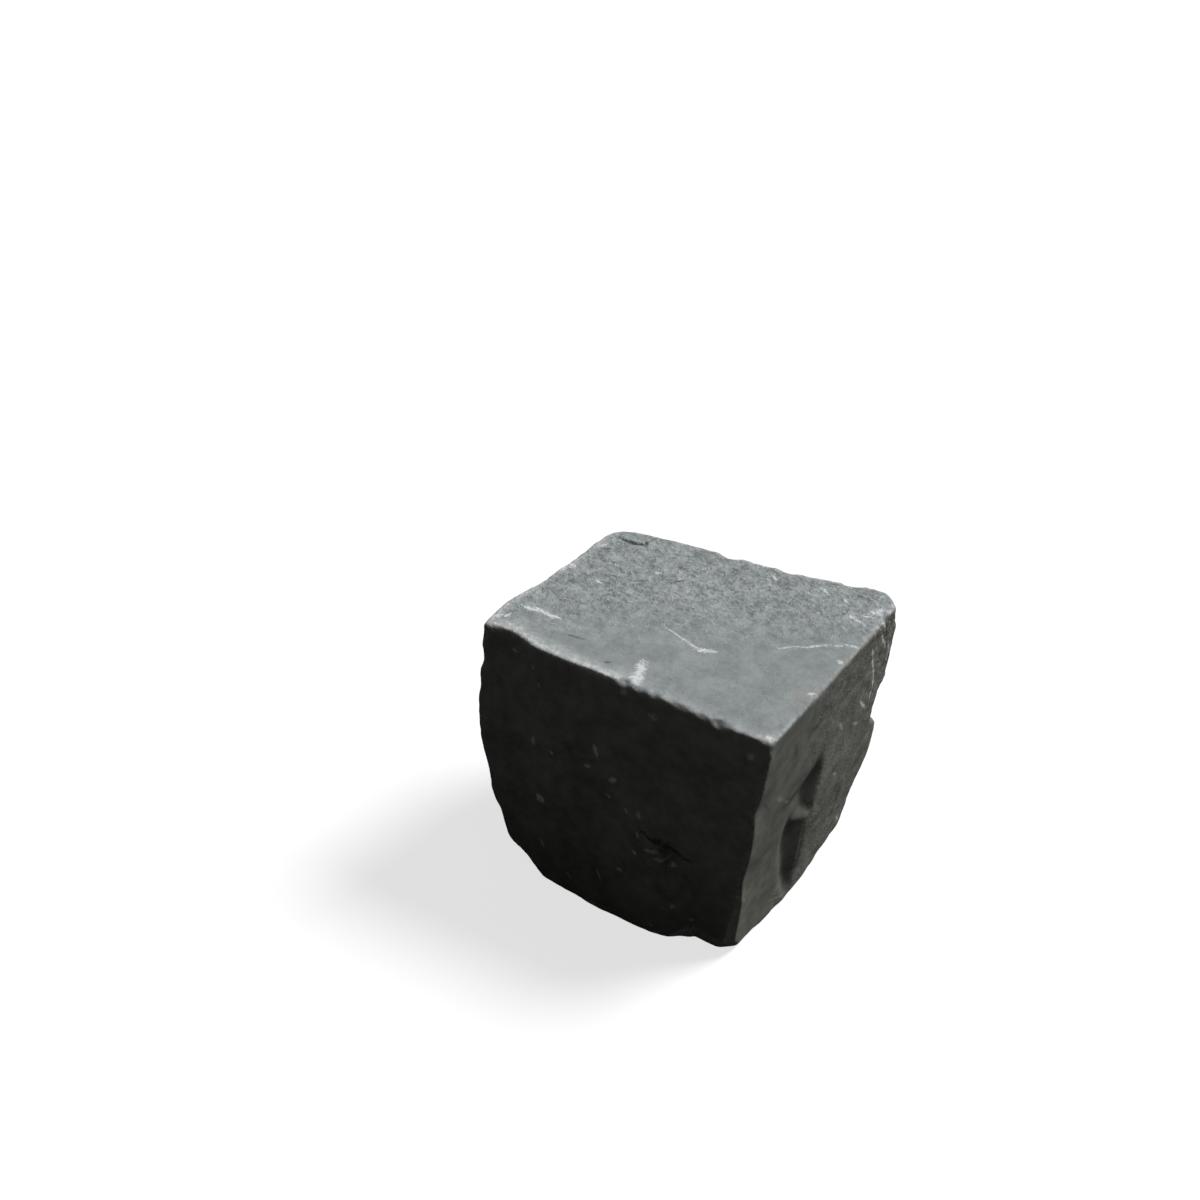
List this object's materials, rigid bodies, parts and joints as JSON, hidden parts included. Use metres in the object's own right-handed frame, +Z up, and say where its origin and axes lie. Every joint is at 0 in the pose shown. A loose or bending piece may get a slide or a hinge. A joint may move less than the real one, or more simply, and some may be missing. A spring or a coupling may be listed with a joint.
{
  "type": "basalt cobblestone",
  "caption": "Rough-hewn basalt cobblestone, a split cube of paving stone with a flat bed, laid side by side with others in sand or mortar to pave roads and yards.",
  "frame": {"origin": "centre of the bed, on the plane that the stone rests on", "axes": "+Z up, from the bed to the worn head; -Y out of the long split side with the hinge ledge; +X out of the side with the two shell-shaped scars"},
  "size_m": [0.1108, 0.0978, 0.1],
  "materials": {
    "basalt": "dry split face, fine-grained and matt, with pale bruised arrises"
  },
  "bodies": {
    "root": {"cobblestone": "basalt"}
  },
  "joints": []
}
